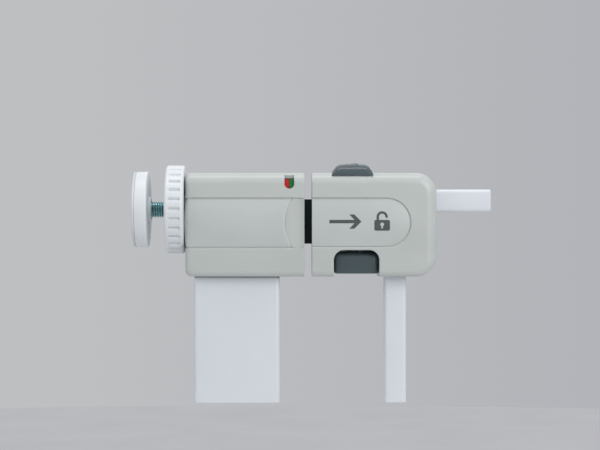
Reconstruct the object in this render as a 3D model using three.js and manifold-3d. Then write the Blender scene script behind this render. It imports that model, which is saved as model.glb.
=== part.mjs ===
// Stair gate latch: wall pad, spindle and hand wheel, fixed housing on the frame post,
// sprung tongue, and the gate leaf's housing with its top slider and lower trigger.
// Millimetres. +X runs away from the wall, +Z is up, the front faces -Y.
import * as THREE from "three";
import { mergeVertices } from "three/addons/utils/BufferGeometryUtils.js";
import Module from "manifold-3d";

const wasm = await Module();
wasm.setup();

// Wall pad and spindle
const PAD_RADIUS = 23.75;
const PAD_BACK = 1.9;
const PAD_FACE = 9.1;
const HUB_END = 11;
const SPINDLE_RADIUS = 5;
const SPINDLE_END = 78;
const RUNNING_BORE = 5.3;

// Hand wheel
const WHEEL_LEFT = 20.4;
const WHEEL_RIGHT = 32.1;
const WHEEL_HUB = 30.8;
const WHEEL_RADIUS = 27.5;
const WHEEL_RIBS = 28;
const NUT_FLATS = 17;

// Both housings share one outline seen from the end
const BOTTOM = -41.5;
const TOP = 22.5;
const HALF_DEPTH = 19;
const WALL = 2.2;
const FACE = 2.8;
const EDGE_ROUND = 7;
const PARTING = 0.15;
const BAND_BOTTOM = -22.8;
const BAND_TOP = 6.9;
const RECESS = 1.4;

// Fixed housing, on the frame post
const RECEIVER_LEFT = 33;
const RECEIVER_RIGHT = 106.3;
const PANEL_ARC_X = 120.2;
const PANEL_ARC_RADIUS = 26;
const POST_LEFT = 37.8;
const POST_RIGHT = 91;
const POST_HALF = 10;
const POST_TOP = 17;
const TUBE_BOTTOM = -120;
const TUBE_WALL = 1.5;

// Indicator window
const WINDOW_X = 96.97;
const WINDOW_HALF = 2.93;
const WINDOW_BOTTOM = 12.6;

// Gate leaf's housing
const LATCH_LEFT = 110.9;
const LATCH_RIGHT = 188;
const LATCH_CORNER = 13;
const PILL_END_X = 156.6;
const END_POST_LEFT = 155.6;
const END_POST_RIGHT = 169.3;
const LEAF_HALF = 7;
const RAIL_BOTTOM = -1.6;
const RAIL_TOP = 12.4;
const RAIL_END = 222;

// Tongue, dog, slider and trigger
const BOLT_TIP = 99;
const BOLT_TAIL = 141;
const BOLT_HALF = 8;
const BOLT_BOTTOM = -21.3;
const BOLT_TOP = 6.3;
const BOLT_MID = -7.5;
const DOG_LEFT = 126.2;
const DOG_RIGHT = 131.2;
const TRIGGER_LEFT = 125;
const TRIGGER_RIGHT = 151.7;
const TRIGGER_TOP = -26.4;
const TRIGGER_BOTTOM = -39.3;
const TRIGGER_WINDOW = [124.4, 152.3, -25.5];

const RECEIVER_SCREWS = [
  [46, 14],
  [84, 14],
  [46, -33],
  [84, -33],
];
const LATCH_SCREWS = [
  [117.2, 13],
  [177, 15.2],
  [117.2, -34],
  [177, -30],
];

// ---- Shape helpers ----

const AXES = {
  X: [new THREE.Vector3(0, 1, 0), new THREE.Vector3(0, 0, 1), new THREE.Vector3(1, 0, 0)],
  Y: [new THREE.Vector3(1, 0, 0), new THREE.Vector3(0, 0, 1), new THREE.Vector3(0, -1, 0)],
  Z: [new THREE.Vector3(1, 0, 0), new THREE.Vector3(0, 1, 0), new THREE.Vector3(0, 0, 1)],
};

function solid(geometry) {
  const bare = geometry.index ? geometry.toNonIndexed() : geometry.clone();
  bare.deleteAttribute("normal");
  bare.deleteAttribute("uv");
  const merged = mergeVertices(bare, 1e-4);
  const mesh = new wasm.Mesh({
    numProp: 3,
    vertProperties: new Float32Array(merged.attributes.position.array),
    triVerts: new Uint32Array(merged.index.array),
  });
  return new wasm.Manifold(mesh);
}

function union(...solids) {
  return solids.reduce((all, next) => all.add(next));
}

function cut(body, ...tools) {
  return tools.reduce((left, tool) => left.subtract(tool), body);
}

// A shape extruded along an axis from low to high, with its edges bevelled if asked.
function extrude(axis, shape, low, high, bevel = 0, curve = 3) {
  const geometry = new THREE.ExtrudeGeometry(shape, {
    depth: high - low - 2 * bevel,
    bevelEnabled: bevel > 0,
    bevelThickness: bevel,
    bevelSize: bevel,
    bevelOffset: -bevel,
    bevelSegments: bevel > 2 ? 3 : 1,
    curveSegments: curve,
  });
  geometry.translate(0, 0, bevel);
  geometry.applyMatrix4(new THREE.Matrix4().makeBasis(...AXES[axis]));
  const start = axis === "Y" ? high : low;
  const shift = { X: [start, 0, 0], Y: [0, start, 0], Z: [0, 0, start] }[axis];
  geometry.translate(...shift);
  return solid(geometry);
}

function box(x0, x1, y0, y1, z0, z1) {
  const geometry = new THREE.BoxGeometry(x1 - x0, y1 - y0, z1 - z0);
  geometry.translate((x0 + x1) / 2, (y0 + y1) / 2, (z0 + z1) / 2);
  return solid(geometry);
}

// A cylinder along an axis; the centre is given in the other two axes, in X, Y, Z order.
function rod(axis, radius, low, high, a = 0, b = 0, segments = 20) {
  const geometry = new THREE.CylinderGeometry(radius, radius, high - low, segments);
  const middle = (low + high) / 2;
  if (axis === "X") geometry.rotateZ(Math.PI / 2).translate(middle, a, b);
  if (axis === "Y") geometry.translate(a, middle, b);
  if (axis === "Z") geometry.rotateX(Math.PI / 2).translate(a, b, middle);
  return solid(geometry);
}

// A closed profile of [x, radius] points turned about the spindle's axis.
function turned(profile, segments) {
  const points = profile.map(([x, radius]) => new THREE.Vector2(radius, x));
  const geometry = new THREE.LatheGeometry(points, segments);
  const basis = [
    new THREE.Vector3(0, 0, 1),
    new THREE.Vector3(1, 0, 0),
    new THREE.Vector3(0, 1, 0),
  ];
  geometry.applyMatrix4(new THREE.Matrix4().makeBasis(...basis));
  return solid(geometry);
}

function roundedRect(x0, x1, z0, z1, r) {
  const s = new THREE.Shape();
  s.moveTo(x0 + r, z0);
  s.lineTo(x1 - r, z0);
  s.absarc(x1 - r, z0 + r, r, -Math.PI / 2, 0, false);
  s.lineTo(x1, z1 - r);
  s.absarc(x1 - r, z1 - r, r, 0, Math.PI / 2, false);
  s.lineTo(x0 + r, z1);
  s.absarc(x0 + r, z1 - r, r, Math.PI / 2, Math.PI, false);
  s.lineTo(x0, z0 + r);
  s.absarc(x0 + r, z0 + r, r, Math.PI, 1.5 * Math.PI, false);
  return s;
}

function polygon(points) {
  return new THREE.Shape(points.map(([x, y]) => new THREE.Vector2(x, y)));
}

function tube(axis, rect, inner, low, high) {
  const body = extrude(axis, roundedRect(...rect, 2.4), low, high, 0, 3);
  const hollow = extrude(axis, roundedRect(...inner, 1), low - 1, high + 1, 0, 2);
  return cut(body, hollow);
}

class Helix extends THREE.Curve {
  constructor(radius, length, turns) {
    super();
    Object.assign(this, { radius, length, turns });
  }
  getPoint(t, target = new THREE.Vector3()) {
    const angle = 2 * Math.PI * this.turns * t;
    const x = this.radius * Math.cos(angle);
    const y = this.radius * Math.sin(angle);
    return target.set(x, y, this.length * t);
  }
}

// A coil spring from low to high along an axis, centred on [a, b] in the other two axes.
function spring(axis, radius, wire, low, high, a, b, turns) {
  const section = new THREE.Shape();
  section.absarc(0, 0, wire, 0, 2 * Math.PI, false);
  const geometry = new THREE.ExtrudeGeometry(section, {
    steps: turns * 8,
    curveSegments: 3,
    bevelEnabled: false,
    extrudePath: new Helix(radius - wire, high - low - 2 * wire, turns),
  });
  geometry.translate(0, 0, wire);
  if (axis === "X") {
    geometry.applyMatrix4(new THREE.Matrix4().makeBasis(...AXES.X));
    geometry.translate(low, a, b);
  } else {
    geometry.translate(a, b, low);
  }
  return solid(geometry);
}

const group = new THREE.Group();

function add(name, body, colour, roughness = 0.5, metalness = 0) {
  const made = body.getMesh();
  const geometry = new THREE.BufferGeometry();
  const positions = new THREE.BufferAttribute(new Float32Array(made.vertProperties), 3);
  geometry.setAttribute("position", positions);
  geometry.setIndex(new THREE.BufferAttribute(made.triVerts, 1));
  const flat = geometry.toNonIndexed();
  flat.computeVertexNormals();
  const material = new THREE.MeshStandardMaterial({ color: colour, roughness, metalness });
  const mesh = new THREE.Mesh(flat, material);
  mesh.name = name;
  group.add(mesh);
}

const SHELL_GREY = 0xb8bdb9;
const TUBE_WHITE = 0xe4e7ec;
const WHITE = 0xeef0f2;
const ZINC = 0x8e9ba3;
const SLATE = 0x485055;
const BLACK = 0x161d24;
const STEEL = 0x9a9fa3;

// ---- Wall pad, spindle and hand wheel ----

function wallPad() {
  const bore = RUNNING_BORE;
  const profile = [
    [PAD_BACK, 0],
    [PAD_BACK, PAD_RADIUS - 1],
    [PAD_BACK + 0.8, PAD_RADIUS],
    [PAD_FACE - 1.2, PAD_RADIUS],
    [PAD_FACE - 0.3, PAD_RADIUS - 0.5],
    [PAD_FACE, PAD_RADIUS - 1.6],
    [PAD_FACE, 8.2],
    [PAD_FACE + 0.6, 7.2],
    [HUB_END, 6.6],
    [HUB_END, bore],
    [2.6, bore],
    [2.6, 0],
  ];
  return turned(profile, 40);
}

function padRubber() {
  const rim = PAD_RADIUS - 1.2;
  return turned(
    [
      [0, 0],
      [0, rim],
      [1.6, rim],
      [1.6, 0],
    ],
    40,
  );
}

function spindle() {
  return rod("X", SPINDLE_RADIUS, 2.9, SPINDLE_END, 0, 0, 24);
}

function hexagon(flats) {
  const corner = flats / Math.sqrt(3);
  const points = [0, 1, 2, 3, 4, 5].map((i) => {
    const angle = (i * Math.PI) / 3;
    return [corner * Math.cos(angle), corner * Math.sin(angle)];
  });
  return polygon(points);
}

function wheel() {
  const groove = WHEEL_RADIUS - 1.1;
  const profile = [
    [WHEEL_LEFT, 5.6],
    [WHEEL_LEFT, 26.2],
    [WHEEL_LEFT + 0.7, 27.1],
    [WHEEL_LEFT + 2, WHEEL_RADIUS],
    [WHEEL_LEFT + 2.8, WHEEL_RADIUS],
    [WHEEL_LEFT + 3.1, groove],
    [WHEEL_RIGHT - 2.8, groove],
    [WHEEL_RIGHT - 2.5, WHEEL_RADIUS],
    [WHEEL_RIGHT - 1, WHEEL_RADIUS],
    [WHEEL_RIGHT, WHEEL_RADIUS - 0.9],
    [WHEEL_RIGHT, 12.5],
    [WHEEL_HUB, 12.5],
    [WHEEL_HUB, 5.6],
    [WHEEL_LEFT, 5.6],
  ];
  let body = turned(profile, 42);
  const rib = box(WHEEL_LEFT + 2.6, WHEEL_RIGHT - 2.3, -1.7, 1.7, groove - 1.5, WHEEL_RADIUS - 0.15);
  for (let i = 0; i < WHEEL_RIBS; i++) {
    body = body.add(rib.rotate([(360 * i) / WHEEL_RIBS, 0, 0]));
  }
  const pocket = extrude("X", hexagon(NUT_FLATS + 0.6), 22.3, WHEEL_RIGHT + 1);
  return cut(body, pocket);
}

function wheelNut() {
  const hex = extrude("X", hexagon(NUT_FLATS), 22.6, 30.5);
  return cut(hex, rod("X", RUNNING_BORE, 20, 34, 0, 0, 24));
}

function thrustWasher() {
  return cut(rod("X", 10, 31.1, 32.7, 0, 0, 28), rod("X", 5.4, 30, 34, 0, 0, 24));
}

add("wall_pad", wallPad(), WHITE);
add("wall_pad_rubber", padRubber(), 0x4a4c4e, 0.8);
add("spindle", spindle(), ZINC, 0.35, 0.9);
add("wheel", wheel(), WHITE);
add("wheel_nut", wheelNut(), STEEL, 0.4, 0.9);
add("thrust_washer", thrustWasher(), STEEL, 0.4, 0.9);

// ---- Tubes ----

function framePost() {
  const y = POST_HALF;
  const w = TUBE_WALL;
  const outer = [POST_LEFT, POST_RIGHT, -y, y];
  const inner = [POST_LEFT + w, POST_RIGHT - w, -y + w, y - w];
  let post = tube("Z", outer, inner, TUBE_BOTTOM, POST_TOP);
  post = cut(post, rod("X", 5.9, POST_LEFT - 1, POST_LEFT + 3));
  for (const [x, z] of RECEIVER_SCREWS) {
    post = cut(post, rod("Y", 1.8, -y - 1, y + 1, x, z, 10));
  }
  return post;
}

function spindleGuide() {
  const block = extrude("X", roundedRect(-8.2, 8.2, -11, 11, 2), 40, 88.7, 0, 2);
  return cut(block, rod("X", RUNNING_BORE, 39, 84, 0, 0, 24));
}

function endPost() {
  const w = TUBE_WALL;
  const outer = [END_POST_LEFT, END_POST_RIGHT, -LEAF_HALF, LEAF_HALF];
  const inner = [END_POST_LEFT + w, END_POST_RIGHT - w, w - LEAF_HALF, LEAF_HALF - w];
  return tube("Z", outer, inner, TUBE_BOTTOM, 16.5);
}

function topRail() {
  const w = TUBE_WALL;
  const outer = [-LEAF_HALF, LEAF_HALF, RAIL_BOTTOM, RAIL_TOP];
  const inner = [w - LEAF_HALF, LEAF_HALF - w, RAIL_BOTTOM + w, RAIL_TOP - w];
  return tube("X", outer, inner, END_POST_RIGHT + 0.3, RAIL_END);
}

add("frame_post", framePost(), TUBE_WHITE);
add("spindle_guide", spindleGuide(), 0x8d9194, 0.6);
add("gate_end_post", endPost(), TUBE_WHITE);
add("gate_top_rail", topRail(), TUBE_WHITE);

// ---- Housings ----

const FRONT = box(0, 300, -40, -PARTING, -60, 60);
const REAR = box(0, 300, PARTING, 40, -60, 60);
const FACE_INNER = HALF_DEPTH - FACE;

function screwBosses(screws) {
  return screws.map(([x, z]) => rod("Y", 3.4, -FACE_INNER - 0.2, FACE_INNER + 0.2, x, z, 12));
}

function screwHoles(screws) {
  return screws.flatMap(([x, z]) => [
    rod("Y", 1.8, -14, HALF_DEPTH + 1, x, z, 10),
    rod("Y", 3.3, 12, HALF_DEPTH + 1, x, z, 12),
  ]);
}

function screw(x, z) {
  return union(rod("Y", 2.9, 12.3, 14.7, x, z, 12), rod("Y", 1.4, -13, 13, x, z, 10));
}


function receiverOuter() {
  const along = roundedRect(5, 140, BOTTOM, TOP, 9);
  const ends = roundedRect(RECEIVER_LEFT, 140, BOTTOM, TOP, 3.5);
  const bars = extrude("Y", along, -HALF_DEPTH, HALF_DEPTH, EDGE_ROUND);
  const corners = extrude("Y", ends, -HALF_DEPTH, HALF_DEPTH, 2.6);
  const right = box(0, RECEIVER_RIGHT, -40, 40, -60, 60);
  return bars.intersect(corners).intersect(right);
}

function panelShape(grow) {
  const reach = PANEL_ARC_RADIUS + grow;
  const top = BAND_TOP - grow;
  const bottom = BAND_BOTTOM + grow;
  const middle = (BAND_TOP + BAND_BOTTOM) / 2;
  const half = (top - bottom) / 2;
  const angle = Math.asin(half / reach);
  const s = new THREE.Shape();
  s.moveTo(RECEIVER_LEFT + grow, bottom);
  s.lineTo(PANEL_ARC_X - reach * Math.cos(angle), bottom);
  s.absarc(PANEL_ARC_X, middle, reach, Math.PI + angle, Math.PI - angle, true);
  s.lineTo(RECEIVER_LEFT + grow, top);
  return s;
}

function windowShape(inset) {
  const r = WINDOW_HALF - inset;
  const s = new THREE.Shape();
  s.moveTo(WINDOW_X - r, 30);
  s.lineTo(WINDOW_X - r, WINDOW_BOTTOM + WINDOW_HALF);
  s.absarc(WINDOW_X, WINDOW_BOTTOM + WINDOW_HALF, r, Math.PI, 2 * Math.PI, false);
  s.lineTo(WINDOW_X + r, 30);
  return s;
}

function linerRibs(side) {
  const y = side < 0 ? [-FACE_INNER - 0.4, -10.7] : [10.7, FACE_INNER + 0.4];
  return [-18, -8].map((z) => box(94, 104, ...y, z - 1, z + 1));
}

function receiverBody() {
  const outer = receiverOuter();
  const inside = roundedRect(RECEIVER_LEFT + WALL, RECEIVER_RIGHT - WALL, BOTTOM + WALL, TOP - WALL, 4.6);
  const cavity = extrude("Y", inside, -FACE_INNER, FACE_INNER, 4.5);
  const springSeat = box(86, 88, 10.6, FACE_INNER + 0.4, -6, 2);
  const filled = union(
    cut(outer, cavity),
    ...screwBosses(RECEIVER_SCREWS),
    ...linerRibs(-1),
    ...linerRibs(1),
    springSeat,
  );
  const postRoom = box(POST_LEFT - 0.3, POST_RIGHT + 0.3, -POST_HALF - 0.3, POST_HALF + 0.3, -60, POST_TOP + 0.3);
  const strikeMouth = box(102, 107, -8.9, 8.9, BOLT_BOTTOM - 0.9, BOLT_TOP + 0.9);
  const noseHole = box(100, 107, 10.6, 14.4, -4.4, 0.4);
  const tabRoom = box(88.9, 104.9, -FACE_INNER, -12.8, 9.2, 19);
  const shape = windowShape(0);
  return cut(
    filled,
    postRoom,
    strikeMouth,
    noseHole,
    tabRoom,
    rod("X", 6.3, RECEIVER_LEFT - 1, RECEIVER_LEFT + 4),
    extrude("Y", shape, -30, -FACE_INNER + 0.1),
    extrude("Y", panelRecess(), -30, -HALF_DEPTH + RECESS, 0, 7),
    ...screwHoles(RECEIVER_SCREWS),
  );
}

// The panel's recess runs out through the housing's left end.
function panelRecess() {
  const s = panelShape(0);
  const points = s.getPoints(7);
  return new THREE.Shape(points.map((p) => new THREE.Vector2(p.x < 40 ? 20 : p.x, p.y)));
}

function receiverPanel() {
  const plate = extrude("Y", panelShape(0.3), -HALF_DEPTH + 0.1, -HALF_DEPTH + RECESS - 0.3, 0, 7);
  return plate;
}

function indicatorLens() {
  const plug = extrude("Y", windowShape(0.25), -30, -FACE_INNER - 0.3);
  return receiverOuter().intersect(plug);
}

function strikeLiner() {
  const block = box(93.1, 103.2, -10.4, 10.4, BOLT_BOTTOM - 2.4, BOLT_TOP + 2.4);
  return cut(block, box(94.6, 110, -8.9, 8.9, BOLT_BOTTOM - 0.9, BOLT_TOP + 0.9));
}

const receiver = receiverBody();
add("receiver_front_shell", receiver.intersect(FRONT), SHELL_GREY);
add("receiver_rear_shell", receiver.intersect(REAR), SHELL_GREY);
add("receiver_inlay", receiverPanel(), SHELL_GREY);
add("indicator_lens", indicatorLens(), 0xdfe8ea, 0.1);
add("strike_liner", strikeLiner(), BLACK, 0.6);
RECEIVER_SCREWS.forEach(([x, z], i) => {
  add(`receiver_screw_${i + 1}`, screw(x, z), STEEL, 0.4, 0.9);
});

// ---- Indicator ----

function indicatorCarrier() {
  return union(
    box(92.3, 103, -14.6, -13.2, 9.6, 18.6),
    box(95, 101, -13.4, 14, 9.6, 11.4),
    box(98, 101, 11, 14, -4, 11.4),
    box(98, 110.6, 11, 14, -4, 0),
  );
}

add("indicator_carrier", indicatorCarrier(), BLACK, 0.6);
add("indicator_red", box(92.3, WINDOW_X - 0.15, -16, -14.9, 9.6, 18.6), 0xc8141e);
add("indicator_green", box(WINDOW_X + 0.15, 103, -16, -14.9, 9.6, 18.6), 0x0a7a3c);

// ---- Gate leaf's housing ----

function latchOuter() {
  const outline = roundedRect(70, LATCH_RIGHT, BOTTOM, TOP, LATCH_CORNER);
  const whole = extrude("Y", outline, -HALF_DEPTH, HALF_DEPTH, EDGE_ROUND, 4);
  return whole.intersect(box(LATCH_LEFT, 300, -40, 40, -60, 60));
}

function pillShape(x0, inset) {
  const middle = (BAND_TOP + BAND_BOTTOM) / 2;
  const r = (BAND_TOP - BAND_BOTTOM) / 2 - inset;
  const s = new THREE.Shape();
  s.moveTo(x0, middle - r);
  s.lineTo(PILL_END_X, middle - r);
  s.absarc(PILL_END_X, middle, r, -Math.PI / 2, Math.PI / 2, false);
  s.lineTo(x0, middle + r);
  return s;
}

// Rails beside the tongue, and posts that hold the trigger in and guide it.
function latchRibs(side) {
  const y = side < 0 ? [-FACE_INNER - 0.4, -8.4] : [8.4, FACE_INNER + 0.4];
  return [
    box(112.5, 150, ...y, -14, -12),
    box(112.5, 150, ...y, -2, 0),
    box(122.4, 124.4, ...y, -40, -29),
    box(152.3, 154.3, ...y, -40, -29),
  ];
}

function triggerNotch() {
  const [left, right, top] = TRIGGER_WINDOW;
  return extrude("Y", roundedRect(left, right, -60, top, 4), -30, 30);
}

function latchBody() {
  const inner = roundedRect(70, LATCH_RIGHT - WALL, BOTTOM + WALL, TOP - WALL, LATCH_CORNER - WALL);
  const hollow = extrude("Y", inner, -FACE_INNER, FACE_INNER, 4.5);
  const cavity = hollow.intersect(box(LATCH_LEFT + WALL, 300, -40, 40, -60, 60));
  const filled = union(
    cut(latchOuter(), cavity),
    ...screwBosses(LATCH_SCREWS),
    ...latchRibs(-1),
    ...latchRibs(1),
  );
  const y = LEAF_HALF + 0.3;
  return cut(
    filled,
    box(110, 114, -8.4, 8.4, BOLT_BOTTOM - 0.4, BOLT_TOP + 0.4),
    box(END_POST_LEFT - 0.3, END_POST_RIGHT + 0.3, -y, y, -60, 16.8),
    box(END_POST_RIGHT, 200, -y, y, RAIL_BOTTOM - 0.3, RAIL_TOP + 0.3),
    box(125.5, 150.5, -4, 4, 18, 30),
    triggerNotch(),
    extrude("Y", pillShape(100, 0), -30, -HALF_DEPTH + RECESS, 0, 8),
    ...screwHoles(LATCH_SCREWS),
  );
}

function latchPanel() {
  const shape = pillShape(LATCH_LEFT + 0.3, 0.3);
  return extrude("Y", shape, -HALF_DEPTH - 0.3, -HALF_DEPTH + RECESS - 0.3, 0.4, 8);
}

const latch = latchBody();
add("latch_front_shell", latch.intersect(FRONT), SHELL_GREY);
add("latch_rear_shell", latch.intersect(REAR), SHELL_GREY);
add("latch_inlay", latchPanel(), SHELL_GREY);
LATCH_SCREWS.forEach(([x, z], i) => {
  add(`latch_screw_${i + 1}`, screw(x, z), STEEL, 0.4, 0.9);
});

// ---- Tongue, dog, slider and trigger ----

// Seen from above the tip tapers on both sides, so that the gate can slam shut either way.
function bolt() {
  const plan = polygon([
    [BOLT_TIP, -3.6],
    [BOLT_TIP + 5, -BOLT_HALF],
    [BOLT_TAIL, -BOLT_HALF],
    [BOLT_TAIL, BOLT_HALF],
    [BOLT_TIP + 5, BOLT_HALF],
    [BOLT_TIP, 3.6],
  ]);
  return cut(
    extrude("Z", plan, BOLT_BOTTOM, BOLT_TOP),
    box(DOG_LEFT - 0.4, DOG_RIGHT + 0.4, -4.4, 4.4, -30, 10),
    rod("X", 4.6, 134.5, BOLT_TAIL + 1, 0, BOLT_MID, 16),
  );
}

// The cap spans the housing's top and hooks over both of its rounded edges.
function topSlider() {
  const side = polygon([
    [122.7, 20.9],
    [149.3, 20.9],
    [149.3, 21.6],
    [147.7, 24],
    [145.7, 26.6],
    [143.6, 27.7],
    [140, 28],
    [139.3, 28.6],
    [137.5, 28.6],
    [131, 28],
    [128.2, 28],
    [126, 27.2],
    [123.9, 24.2],
    [122.7, 21.6],
  ]);
  const cap = extrude("Y", side, -17.8, 17.8, 0.5);
  const hooked = cut(cap, latchOuter().translate([0, -0.35, 0.35]), latchOuter().translate([0, 0.35, 0.35]));
  return union(hooked, box(126, 138, -3.5, 3.5, 17.5, 24));
}

function sliderCarriage() {
  const plate = box(113.6, 150, -9.5, 9.5, 17.2, 19.2);
  const arm = box(121.4, 125.4, -6, 6, 6.9, 17.6);
  return cut(union(plate, arm), box(125.7, 138.3, -3.8, 3.8, 16, 20));
}

function trigger() {
  const side = polygon([
    [-15.8, TRIGGER_BOTTOM + 3],
    [-12.8, TRIGGER_BOTTOM],
    [12.8, TRIGGER_BOTTOM],
    [15.8, TRIGGER_BOTTOM + 3],
    [15.8, TRIGGER_TOP],
    [-15.8, TRIGGER_TOP],
  ]);
  const grip = extrude("X", side, TRIGGER_LEFT, TRIGGER_RIGHT);
  return union(grip, box(122.7, 154, -15.8, 15.8, TRIGGER_TOP - 2.2, TRIGGER_TOP));
}

add("bolt", bolt(), BLACK, 0.4);
add("lift_dog", box(DOG_LEFT, DOG_RIGHT, -4, 4, TRIGGER_TOP + 0.3, 5.8), 0xb9bdc0, 0.4);
add("top_slider", topSlider(), SLATE, 0.4);
add("slider_carriage", sliderCarriage(), SLATE, 0.5);
add("trigger", trigger(), SLATE, 0.4);

// ---- Springs ----

add("bolt_spring", spring("X", 4, 0.5, 134.8, 155.3, 0, BOLT_MID, 5), STEEL, 0.3, 0.9);
add("slider_spring", spring("X", 2.2, 0.35, 125.7, 155.3, 0, 13.5, 6), STEEL, 0.3, 0.9);
add("trigger_spring_front", spring("Z", 2.5, 0.35, -26.1, -14.3, 138.3, -12.4, 4), STEEL, 0.3, 0.9);
add("trigger_spring_rear", spring("Z", 2.5, 0.35, -26.1, -14.3, 138.3, 12.4, 4), STEEL, 0.3, 0.9);
add("indicator_spring", spring("X", 1.9, 0.3, 88.3, 97.7, 12.5, -2, 4), STEEL, 0.3, 0.9);

export default group;
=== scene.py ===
"""Looks of the stair gate latch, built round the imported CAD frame, for Blender 4.5.

Pieces are drawn in millimetres and made in metres. The floor, lights and camera are in metres.
+X runs away from the wall, +Z is up, and the side that the photo shows faces -Y.
"""

import math

import bmesh
import bpy
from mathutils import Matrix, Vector


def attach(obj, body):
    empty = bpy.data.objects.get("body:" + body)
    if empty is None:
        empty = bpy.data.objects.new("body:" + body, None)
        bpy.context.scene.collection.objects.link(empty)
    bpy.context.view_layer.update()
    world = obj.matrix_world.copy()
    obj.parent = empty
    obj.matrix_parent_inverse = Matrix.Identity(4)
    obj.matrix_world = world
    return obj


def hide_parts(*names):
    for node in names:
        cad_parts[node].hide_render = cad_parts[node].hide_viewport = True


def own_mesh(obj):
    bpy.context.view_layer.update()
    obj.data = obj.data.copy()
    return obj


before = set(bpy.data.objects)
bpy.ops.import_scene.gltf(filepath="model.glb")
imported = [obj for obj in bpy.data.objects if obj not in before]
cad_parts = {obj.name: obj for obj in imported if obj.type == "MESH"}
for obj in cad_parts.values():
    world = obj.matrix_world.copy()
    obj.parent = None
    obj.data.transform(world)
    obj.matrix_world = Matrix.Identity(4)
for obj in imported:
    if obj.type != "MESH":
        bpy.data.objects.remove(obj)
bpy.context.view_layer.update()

MM = 0.001
HARD_EDGE = math.radians(30)

# Both housings are two halves that meet on the plane Y = 0.
PARTING = 0.15
HALF = 19.0
INNER_FACE = 16.2
BOTTOM, TOP = -41.5, 22.5
TOP_ROUND, UNDER_ROUND = 7.0, 3.4
RECEIVER_LEFT, RECEIVER_RIGHT, RECEIVER_ROUND = 33.0, 106.3, 2.6
LATCH_LEFT, LATCH_RIGHT = 110.9, 188.0
RECEIVER_SCREWS = [(46, 14), (84, 14), (46, -33), (84, -33)]
LATCH_SCREWS = [(117.2, 13), (177, 15.2), (117.2, -34), (177, -30)]

# The fixed housing's centre band and the gate housing's pill-shaped panel, each with a groove round it.
BAND_TOP = 6.9
BAND_BOTTOM, PILL_BOTTOM = -24.0, -23.4
BAND_MID, BAND_HALF = (BAND_TOP + BAND_BOTTOM) / 2, (BAND_TOP - BAND_BOTTOM) / 2
PILL_MID, PILL_HALF = (BAND_TOP + PILL_BOTTOM) / 2, (BAND_TOP - PILL_BOTTOM) / 2
PANEL_ARC_X, PANEL_ARC_R = 120.2, 26.0
PILL_END_X = 156.6
PANEL_BACK = -18.22
GROOVE_DEPTH, GROOVE = 0.8, 0.55

# The indicator's window, the trigger's window, the thumb slider and the tubes' cut ends.
WINDOW_X, WINDOW_HALF, WINDOW_BOTTOM = 96.97, 2.93, 12.6
NOTCH_LEFT, NOTCH_RIGHT = 124.4, 152.3
SLIDER_HALF = 17.8
POST_END, RAIL_END = -120, 222

# ---------------------------------------------------------------- mesh helpers


def make(name, verts, faces):
    """A smooth-shaded mesh object from points in millimetres."""
    mesh = bpy.data.meshes.new(name)
    mesh.from_pydata([tuple(c * MM for c in v) for v in verts], [], faces)
    mesh.validate()
    obj = bpy.data.objects.new(name, mesh)
    bpy.context.scene.collection.objects.link(obj)
    bm = bmesh.new()
    bm.from_mesh(mesh)
    bmesh.ops.recalc_face_normals(bm, faces=bm.faces)
    bm.to_mesh(mesh)
    bm.free()
    shade(obj)
    return obj


def shade(obj):
    """Smooth faces, with a sharp edge wherever two of them meet at more than HARD_EDGE."""
    bm = bmesh.new()
    bm.from_mesh(obj.data)
    for f in bm.faces:
        f.smooth = True
    for e in bm.edges:
        e.smooth = len(e.link_faces) == 2 and e.calc_face_angle(0.0) < HARD_EDGE
    bm.to_mesh(obj.data)
    bm.free()


def loft(name, loops):
    """A closed solid through loops of points with equal counts, capped at both ends."""
    n = len(loops[0])
    verts = [p for loop in loops for p in loop]
    faces = []
    for i in range(len(loops) - 1):
        a, b = i * n, (i + 1) * n
        for k in range(n):
            m = (k + 1) % n
            faces.append((a + k, a + m, b + m, b + k))
    faces.append(tuple(range(n - 1, -1, -1)))
    faces.append(tuple(range((len(loops) - 1) * n, len(loops) * n)))
    return make(name, verts, faces)


def ring(name, loops):
    """A closed surface through loops whose last joins the first, such as a tube's wall."""
    n = len(loops[0])
    verts = [p for loop in loops for p in loop]
    faces = []
    for i in range(len(loops)):
        a, b = i * n, ((i + 1) % len(loops)) * n
        for k in range(n):
            m = (k + 1) % n
            faces.append((a + k, a + m, b + m, b + k))
    return make(name, verts, faces)


def box(x0, x1, y0, y1, z0, z1):
    """A plain box, for cutting or adding."""
    corners = [(x0, z0), (x1, z0), (x1, z1), (x0, z1)]
    return loft("tool", [[(x, y, z) for x, z in corners] for y in (y0, y1)])


def cylinder(axis, radius, low, high, a, b, n):
    """A plain cylinder along X, centred on (y, z) = (a, b), or along Y, centred on (x, z)."""
    loops = []
    for t in (low, high):
        points = []
        for k in range(n):
            c = radius * math.cos(2 * math.pi * k / n)
            s = radius * math.sin(2 * math.pi * k / n)
            points.append((t, a + c, b + s) if axis == "X" else (a + c, t, b + s))
        loops.append(points)
    return loft("tool", loops)


def cut(obj, *tools, operation="DIFFERENCE"):
    """Cuts each tool out of obj, adds it or keeps the overlap, then removes the tools."""
    for tool in tools:
        modifier = obj.modifiers.new("cut", "BOOLEAN")
        modifier.operation = operation
        modifier.solver = "EXACT"
        modifier.object = tool
    bpy.context.view_layer.update()
    evaluated = obj.evaluated_get(bpy.context.evaluated_depsgraph_get())
    mesh = bpy.data.meshes.new_from_object(evaluated)
    obj.modifiers.clear()
    obj.data = mesh
    for tool in tools:
        bpy.data.objects.remove(tool)
    shade(obj)
    return obj


def settle(obj):
    """Keeps the large flat faces flat where they run into rounded edges."""
    modifier = obj.modifiers.new("flat_faces", "WEIGHTED_NORMAL")
    modifier.keep_sharp = True
    modifier.weight = 80
    return obj


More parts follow.
